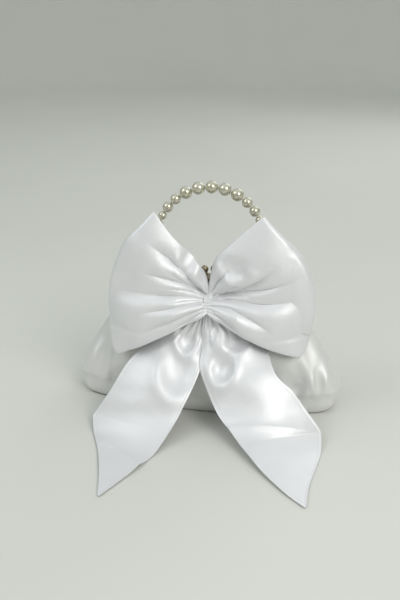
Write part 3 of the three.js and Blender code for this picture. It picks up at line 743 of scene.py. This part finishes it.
# Hollows pressed into a loop beside the pinch: the middle, half width and height, and depth, in mm.
LOOP_SWAGS = {-1: [((17, 97), (9, 15), 4.4)], 1: [((27, 92), (15, 11), 4.8)]}
# Where a loop's outer fold is drawn in: the share of the way up, how far and how wide.
DRAWN_IN = {-1: [(0.55, 0.015, 0.05)], 1: [(0.70, 0.07, 0.05), (0.42, 0.05, 0.05), (0.05, 0.09, 0.12)]}


def loop_skin(hand, seed, rows=150, columns=260):
    """A folded band: out along the front, round the outer fold and back behind, fanning from the pinch."""
    v = np.linspace(0, 1, rows)[:, None]
    w = np.linspace(0, 1, columns)[None, :]
    v, w = np.broadcast_arrays(v, w)
    front, fold = 0.62, 0.18
    turn = np.clip((w - front) / fold, 0, 1) * math.pi
    edge = 0.955 - sum(deep * bump(v, place, wide) for place, deep, wide in DRAWN_IN[hand])
    edge = np.where(turn < math.pi / 2, edge, 0.93)
    returning = (1 - w) / (1 - front - fold)
    out = np.where(w < front, (w / front) ** 1.15, np.where(w > front + fold, returning, 1))
    u = out * edge + (1 - edge) * np.sin(turn) ** 0.6
    ahead = (1 + np.sign(np.cos(turn)) * np.abs(np.cos(turn)) ** 0.6) / 2
    tops, lows, sides = LOOP_TOPS[hand], LOOP_LOWS[hand], LOOP_SIDES[hand]
    top, low_edge, side = spline(tops, u), spline(lows, u), spline(sides, v)
    low_start, top_start = np.array(lows[0]), np.array(tops[0])
    low_end, top_end = np.array(sides[0]), np.array(sides[-1])
    uu, vv = u[..., None], v[..., None]
    start = low_start + (top_start - low_start) * vv
    flat = (1 - vv) * low_edge + vv * top + (1 - uu) * start + uu * side
    flat = flat - (1 - uu) * (1 - vv) * low_start - (1 - uu) * vv * top_start
    flat = flat - uu * (1 - vv) * low_end - uu * vv * top_end
    x = hand * REACH[hand] * flat[..., 0] + BOW_X * (1 - smooth(u, 0.0, 0.9))
    z = BOW_LOW + (BOW_TOP - BOW_LOW) * flat[..., 1]
    lens = 1 - np.abs(2 * v - 1) ** 2.4
    flare = 0.30 + 0.50 * (1 - smooth(u, 0.0, 0.2))
    thick = 3 * MM + (LOOP_THICK(u) - 3 * MM) * (flare + (1 - flare) * lens)
    z = z - (1 - ahead) * 0.75 * thick * smooth(v, 0.55, 1.0) * smooth(u, 0.02, 0.2)
    back = bow_back(x, z, 9 * MM * np.minimum(1, 0.35 + 2 * u))
    relief = loop_relief(flat, u, v, hand, seed)
    hind = 0.8 * MM * ripple(x, z, seed + 9, 0.06)
    depth = back + thick * ahead + relief * ahead + hind * (1 - ahead) * smooth(u, 0.1, 0.3)
    return np.stack([x, -depth, z], axis=-1)


def loop_relief(flat, u, v, hand, seed):
    """How far the front of a loop stands out of its plain swell: pleats, long creases and soft waves."""
    x = flat[..., 0] * REACH[hand]
    z = flat[..., 1] * (BOW_TOP - BOW_LOW)
    pleats = np.abs(np.sin(math.pi * 8 * (v + 0.02 * ripple(x, z, seed, 0.03)))) ** 0.8 - 0.6
    total = 1.9 * MM * pleats * (1 - smooth(u, 0.02, 0.22))
    total = total + sum(swag(x, z, place, size, deep) for place, size, deep in LOOP_SWAGS[hand])
    for points, deep, wide in CREASES[hand]:
        places = [(a * REACH[hand], b * (BOW_TOP - BOW_LOW)) for a, b in points]
        distance, share = along_curve(places, x, z)
        width = (1.3 + (wide - 1.3) * share) * MM
        strength = smooth(share, -0.15, 0.22) * (1 - smooth(share, 0.5, 1.0))
        total = total - deep * MM * strength * np.exp(-(distance / width))
    waves = 1.6 * MM * ripple(x, z, seed + 3, 0.10) + 0.35 * MM * ripple(x, z, seed + 4, 0.03)
    return total + waves * smooth(u, 0.15, 0.5) * np.sin(math.pi * v) ** 0.5


def bow_piece(obj, node):
    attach(obj, "bag")
    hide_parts(node)


def make_loops():
    for name, hand, seed in (("left", -1, 21), ("right", 1, 33)):
        loop = cloth(f"loop_{name}", loop_skin(hand, seed), WHITE, 1.2 * MM, inward=(0, 0, 0.001))
        bow_piece(loop, f"bow_loop_{name}")


def make_gather():
    """The pinched middle of the bow, its pleats running on into both loops."""
    reach = 4 * MM
    half_high = (high("bow_gather", "z") - low("bow_gather", "z")) / 2
    half_deep = (high("bow_gather", "y") - low("bow_gather", "y")) / 2
    middle = (high("bow_gather", "y") + low("bow_gather", "y")) / 2
    a = np.linspace(0, 2 * math.pi, 180, endpoint=False)
    rings = []
    for u in np.linspace(-1, 1, 41):
        pinch = (0.88 + 0.14 * u * u) * (1 - smooth(abs(u), 0.86, 1.02) * 0.5)
        ribs = 1 + 0.13 * (np.abs(np.sin(6.5 * a + 0.35 * math.sin(2.2 * u) + 0.4)) ** 0.75 - 0.6)
        y = middle + pinch * ribs * 0.75 * half_deep * np.cos(a)
        z = GATHER_Z + pinch * ribs * 0.85 * half_high * np.sin(a)
        rings.append(np.stack([np.full(len(a), BOW_X + u * reach), y, z], axis=-1))
    bow_piece(loft("gather", rings, WHITE), "bow_gather")


# Hollows of the tails under the pinch: the middle, the half width and half height, and the depth, in mm.
TAIL_SWAGS = {
    -1: [((-24, 87), (8, 6), 2.4), ((-14, 72), (10, 12), 4.2), ((-20, 50), (17, 20), 5.0)],
    1: [((30, 77), (14, 14), 4.6), ((21, 54), (12, 13), 4.8), ((10, 86), (4, 12), 1.8)],
}


def share_of(points, place):
    """The share of a polyline's length at a place given as a point number, whole or not."""
    along = np.concatenate([[0], np.cumsum(np.linalg.norm(np.diff(np.array(points), axis=0), axis=1))])
    return np.interp(place, np.arange(len(points)), along) / along[-1]


def tail_skin(hand, outer, inner, bend, seed, rows=210, columns=100):
    """A strip between two edges, puckered at the pinch, hollowed below it and bent at the floor."""
    t = np.linspace(0, 1, rows)
    v = np.sin(np.linspace(-1, 1, columns) * math.pi / 2) * 0.5 + 0.5
    a, b = spline(outer, t)[:, None], spline(inner, t)[:, None]
    points = a + (b - a) * v[None, :, None]
    normal = normals_of(points)
    facing = normal[..., 2] - normal[..., 1]
    normal = normal * np.sign(facing)[..., None]
    tt, vv = np.broadcast_arrays(t[:, None], v[None, :])
    x, y, z = np.moveaxis(points, -1, 0)
    wide = np.broadcast_to(np.linalg.norm(b - a, axis=2), vv.shape)
    pucker = np.abs(np.sin(math.pi * 6 * (vv + 0.05 * ripple(tt, vv, seed, 0.4)))) ** 0.8 - 0.6
    lift = 2.4 * MM * pucker * (1 - smooth(tt, 0.04, 0.22)) * smooth(wide, 0.0, 0.02)
    lift = lift + 7 * MM * np.sin(math.pi * vv) * smooth(tt, 0.05, 0.2) * (1 - smooth(tt, 0.4, 0.75))
    lift = lift + sum(swag(x, z, place, size, deep) for place, size, deep in TAIL_SWAGS[hand])
    lift = lift + 1.3 * MM * ripple(x, y + z, seed + 1, 0.09)
    start, end = share_of(outer, bend[0]), share_of(inner, bend[1])
    past = (tt - (start + (end - start) * vv)) * 0.2
    lift = lift + 2.2 * MM * np.exp(-np.abs(past) / 0.008) * smooth(vv, -0.1, 0.2)
    lift = lift * (1 - 0.75 * smooth(tt, 0.8, 1.0))
    edge = np.minimum(vv, 1 - vv) * wide
    rim = 0.1 * MM * (1 - smooth(edge, 1.6 * MM, 2.6 * MM)) - 0.15 * MM * bump(edge, 2.4 * MM, 0.6 * MM)
    return points + normal * (lift + rim)[..., None]


TAIL_LOW = 1.7  # mm from the floor to a tail's upper side


def on_body(x, z, off=0.0):
    """A place of a tail's edge on the front of the bag, off by this much further out. In mm."""
    return (x * MM, -float(bow_back(np.array(x * MM), np.array(z * MM), (3.5 + off) * MM)), z * MM)


def ahead_of(x, beyond, z):
    """A place of a tail's edge beyond the front of the base. In mm, never below the floor."""
    return (x * MM, -BASE_DEPTH - beyond * MM, max(z, TAIL_LOW) * MM)


# The tails' edges from the pinch to the point.
OUTER_EDGES = {
    -1: [on_body(-1, 101, 6), on_body(-17, 96, 2), on_body(-34, 84), on_body(-50, 70),
         ahead_of(-68, 13, 52), ahead_of(-81, 27, 30), ahead_of(-94, 36, 11), ahead_of(-95.5, 37.5, 8.5),
         ahead_of(-94.5, 41, 7), ahead_of(-89, 56, 1), ahead_of(-78, 81, 1), ahead_of(-67, 113, 1),
         ahead_of(-60, 141, 1)],
    1: [on_body(8, 101, 6), on_body(24, 100, 2), on_body(42, 93), on_body(56, 75),
        ahead_of(69, 13, 53), ahead_of(85, 18, 40), ahead_of(99, 23, 24), ahead_of(110.5, 28.5, 11),
        ahead_of(112, 30, 8.5), ahead_of(112.5, 34, 7), ahead_of(113, 51, 1), ahead_of(109, 77, 1),
        ahead_of(105, 101, 1), ahead_of(104, 127, 1)],
}
INNER_EDGES = {
    -1: [on_body(3, 101, 6), on_body(2, 93, 3), on_body(1.5, 69), ahead_of(1, 11, 54),
         ahead_of(-6, 29, 34), ahead_of(-17, 51, 15), ahead_of(-29, 80, 1), ahead_of(-37, 99, 1),
         ahead_of(-48, 121, 1), ahead_of(-58.5, 142, 1)],
    1: [on_body(3, 101, 8), on_body(1, 93, 6), on_body(0, 69, 3), ahead_of(0, 13, 54),
        ahead_of(8, 23, 38), ahead_of(20, 38, 23), ahead_of(33, 51, 14), ahead_of(51, 73, 8),
        ahead_of(73, 99, 4), ahead_of(88, 115, 2), ahead_of(102.5, 128, 1)],
}
# Where the bend at the floor starts on the outer edge and ends on the inner one, as point numbers.
BENDS = {-1: (9.3, 7.0), 1: (8.5, 5.9)}


def make_tails():
    for name, hand, seed in (("left", -1, 41), ("right", 1, 52)):
        points = tail_skin(hand, OUTER_EDGES[hand], INNER_EDGES[hand], BENDS[hand], seed)
        tail = cloth(f"tail_{name}", points, WHITE, 1.0 * MM, inward=(0, 0.7, -0.7))
        bow_piece(tail, f"bow_tail_{name}")


def make_bow():
    make_loops()
    make_gather()
    make_tails()
    NODES["bow_patch"].data.materials[0] = WHITE


# ---- Metal and pearls ----
def joined(name, *parts):
    """Several closed shells as one piece."""
    points, faces = [], []
    material = parts[0].data.materials[0]
    for part in parts:
        start = len(points)
        points += [tuple(v.co) for v in part.data.vertices]
        faces += [tuple(start + k for k in face.vertices) for face in part.data.polygons]
        bpy.data.objects.remove(part)
    return link(name, points, faces, material)


def metal(piece, node, body):
    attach(piece, body)
    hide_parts(node)


def rounded(corners, steps=5):
    """A closed outline from (a, b, radius) corners, each rounded."""
    outline = []
    count = len(corners)
    for i, (a, b, r) in enumerate(corners):
        here = np.array([a, b])
        before = np.array(corners[i - 1][:2]) - here
        after = np.array(corners[(i + 1) % count][:2]) - here
        p = here + before / np.linalg.norm(before) * r
        q = here + after / np.linalg.norm(after) * r
        for t in np.linspace(0, 1, steps):
            outline.append((1 - t) ** 2 * p + 2 * t * (1 - t) * here + t**2 * q)
    return np.array(outline)


LEG_END = HINGE_Z + LUG + 0.5 * MM
NEAR = HALF_GAP + 2 * (CHANNEL_MID - HALF_GAP)


def frame_line():
    """Places along the frame's outer edge from leg's end to leg's end, as x, z and the way inward."""

    def corner(middle, start, end):
        turns = [(math.cos(a), math.sin(a)) for a in np.linspace(start, end, 19)]
        return [(middle + CORNER * c, CORNER_Z + CORNER * s, -c, -s) for c, s in turns]

    line = [(-FRAME_HALF, z, 1, 0) for z in np.linspace(LEG_END, CORNER_Z, 4)[:-1]]
    line += corner(-CORNER_X, math.pi, math.pi / 2)
    line += [(x, FRAME_TOP, 0, -1) for x in np.linspace(-CORNER_X, CORNER_X, 14)[1:-1]]
    line += corner(CORNER_X, math.pi / 2, 0)
    return line + [(FRAME_HALF, z, -1, 0) for z in np.linspace(CORNER_Z, LEG_END, 4)[1:]]


def frame_rail(name, side):
    """The U channel of one half: folded metal with softly rounded edges and a rolled lip."""
    wall, deep = CHANNEL_WALL, CHANNEL_DEEP
    lip = 0.55 * MM
    section = rounded([
        (deep, NEAR, lip),
        (0, NEAR, 1.7 * MM),
        (0, HALF_GAP, 1.0 * MM),
        (deep, HALF_GAP, lip),
        (deep, HALF_GAP + wall, lip),
        (wall, HALF_GAP + wall, 0.5 * MM),
        (wall, NEAR - wall, 0.9 * MM),
        (deep, NEAR - wall, lip),
    ])
    rings = [[(x + nx * d, side * y, z + nz * d) for d, y in section] for x, z, nx, nz in frame_line()]
    return loft_section(name, rings)


def loft_section(name, rings):
    """A closed sweep whose ends are single many-sided faces."""
    rings = np.asarray(rings)
    rows, columns = rings.shape[:2]
    faces = grid_faces(rows, columns, round_it=True)
    faces += [tuple(range(columns - 1, -1, -1)), tuple(range((rows - 1) * columns, rows * columns))]
    return face_out(link(name, rings.reshape(-1, 3), faces, GOLD))


def hinge_tab(name, hand, side):
    """The flat round lug at the end of a leg, with the neck that carries it."""
    reach = FRAME_HALF - CHANNEL_DEEP / 2
    start = 0.2 * MM if side < 0 else -1.7 * MM
    y0, y1 = sorted((side * HALF_GAP, side * NEAR))
    outline = [(y1 if side < 0 else y0, LEG_END + 1 * MM)]
    for a in np.linspace(0.42 * math.pi, -math.pi, 26):
        outline.append((-side * LUG * math.cos(a), HINGE_Z + LUG * math.sin(a)))
    outline += [(y0 if side < 0 else y1, HINGE_Z + 3.2 * MM), (y0 if side < 0 else y1, LEG_END + 1 * MM)]
    outline = np.array(outline)
    middle = outline.mean(axis=0)
    rings = []
    for step, shrink in ((0, 0.95), (0.25, 1.0), (1.25, 1.0), (1.5, 0.95)):
        x = hand * (reach + start + step * MM)
        rings.append([(x, *(middle + (p - middle) * shrink)) for p in outline])
    return loft_section(name, rings)


# A hinge rivet's half outline, flat head inside and domed head outside: distance along and radius in mm.
RIVET = [(-2.8, 0), (-2.8, 1.6), (-2.5, 2.4), (-2.0, 2.6), (-2.0, 1.5), (2.0, 1.5), (2.0, 2.6), (2.4, 2.5),
         (2.8, 1.9), (3.05, 1.0), (3.1, 0)]


def make_frame():
    for name, side, body in (("front", -1, "bag"), ("back", 1, "back_half")):
        parts = [frame_rail(f"{name}_rail", side)]
        parts += [hinge_tab(f"{name}_tab", hand, side) for hand in (-1, 1)]
        metal(joined(f"frame_{name}", *parts), f"{name}_frame", body)
        NODES[f"{name}_channel_cord"].data.materials[0] = PAPER
    for name, hand in (("left", -1), ("right", 1)):
        x = hand * (FRAME_HALF - CHANNEL_DEEP / 2)
        rivet = turned(f"rivet_{name}", scaled(RIVET), (x, 0, HINGE_Z), (hand, 0, 0), GOLD)
        metal(rivet, f"hinge_rivet_{name}", "bag")


def scaled(outline):
    return [(a * MM, b * MM) for a, b in outline]


def ball_outline(radius, bore=0.0, steps=40):
    """A ball's half outline, pierced if bore isn't 0, with a soft edge at the hole."""
    rise = math.asin(bore / radius) if bore else 0
    angles = np.linspace(rise, math.pi - rise, steps)
    outline = [(-radius * math.cos(a), radius * math.sin(a)) for a in angles]
    if bore:
        outline += [(outline[-1][0] * 0.97, bore * 0.92), (outline[0][0] * 0.97, bore * 0.92), outline[0]]
    return outline


KNOB_PAD = [(0, 0), (0, 2.5), (0.5, 2.5), (0.9, 2.2), (1.0, 0)]


def make_knobs():
    """The two kiss-lock balls on bent stems; each leans over to the other half."""
    for name, side, body in (("front", -1, "bag"), ("back", 1, "back_half")):
        node = f"{name}_kiss_knob"
        x = (low(node, "x") + high(node, "x")) / 2
        radius = (high(node, "x") - low(node, "x")) / 2
        top = high(node, "z") - radius
        across = -side * 1.2 * MM
        foot = FRAME_TOP + 0.3 * MM
        centre = (x, across, top)
        ball = turned("ball", ball_outline(radius), centre, (0, 0, 1), GOLD)
        bend = (x, side * CHANNEL_MID * 0.9, foot + 1.8 * MM)
        path = spline([(x, side * CHANNEL_MID, foot), bend, centre], np.linspace(0, 1, 12))
        stem = tube("stem", path, np.linspace(1.7, 1.25, 12) * MM, GOLD)
        pad = turned("pad", scaled(KNOB_PAD), (x, side * CHANNEL_MID, foot), (0, 0, 1), GOLD)
        metal(joined(f"knob_{name}", ball, stem, pad), node, body)


def circle(centre, radius, first, second, steps=48):
    a = np.linspace(0, 2 * math.pi, steps, endpoint=False)[:, None]
    return np.array(centre) + radius * (np.cos(a) * np.array(first) + np.sin(a) * np.array(second))


LEAN = math.radians(10)
HANDLE_UP = (0, math.sin(LEAN), math.cos(LEAN))
HANDLE_BACK = (0, math.cos(LEAN), -math.sin(LEAN))


def middle_of(node):
    a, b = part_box(node)
    return (np.array(a) + np.array(b)) / 2


RING = 3.6 * MM  # from the middle of an eye or jump ring to the middle of its wire
CUP_LOW = 5.6 * MM  # from the middle of a jump ring up to an end cap's cup
EYE_PAD = [(0, 0), (0, 2.6), (1.1, 2.5), (1.5, 2.1), (1.6, 0)]
CUP = [(-0.2, 0), (-0.2, 1.0), (0, 1.6), (0.4, 2.2), (1.0, 2.7), (2.6, 3.3), (3.2, 3.3), (2.6, 2.9), (2.4, 0)]


def wire_ring(name, middle, radius, first, second, wire, steps=48):
    return tube(name, circle(middle, radius, first, second, steps), wire, GOLD, closed=True)


def make_handle_ends():
    """An eye on the frame, a jump ring through it and a cap on the handle, at each end."""
    up = np.array(HANDLE_UP)
    for name in ("left", "right"):
        x = middle_of(f"handle_eye_{name}")[0]
        foot = FRAME_TOP + 0.3 * MM
        centre = (x, -CHANNEL_MID, high(f"handle_eye_{name}", "z") - RING - 1.1 * MM)
        eye = wire_ring("eye", centre, RING, (0, 1, 0), (0, 0, 1), 1.1 * MM)
        pad = turned("pad", scaled(EYE_PAD), (x, -CHANNEL_MID, foot), (0, 0, 1), GOLD)
        metal(joined(f"eye_{name}", eye, pad), f"handle_eye_{name}", "bag")
        middle = middle_of(f"jump_ring_{name}")
        ring = wire_ring(f"ring_{name}", middle, RING, (1, 0, 0), HANDLE_UP, 0.9 * MM)
        metal(ring, f"jump_ring_{name}", "handle")
        lug = wire_ring("lug", middle + RING * up, 1.8 * MM, HANDLE_BACK, HANDLE_UP, 0.4 * MM, 32)
        cup = turned("cup", scaled(CUP), middle + CUP_LOW * up, HANDLE_UP, GOLD)
        metal(joined(f"cap_{name}", cup, lug), f"end_cap_{name}", "handle")
    NODES["handle_wire"].data.materials[0] = STEEL


def make_pearls():
    names = sorted(n for n in NODES if n.startswith("pearl_"))
    centres = [middle_of(n) for n in names]
    for i, (name, centre) in enumerate(zip(names, centres)):
        radius = max(np.array(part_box(name)[1]) - np.array(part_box(name)[0])) / 2
        ahead = centres[min(i + 1, len(names) - 1)] - centres[max(i - 1, 0)]
        pearl = turned(f"bead_{name[-2:]}", ball_outline(radius, 0.9 * MM), centre, ahead, PEARL)
        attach(pearl, "handle")
        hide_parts(name)


make_body()
make_bow()
make_frame()
make_knobs()
make_handle_ends()
make_pearls()
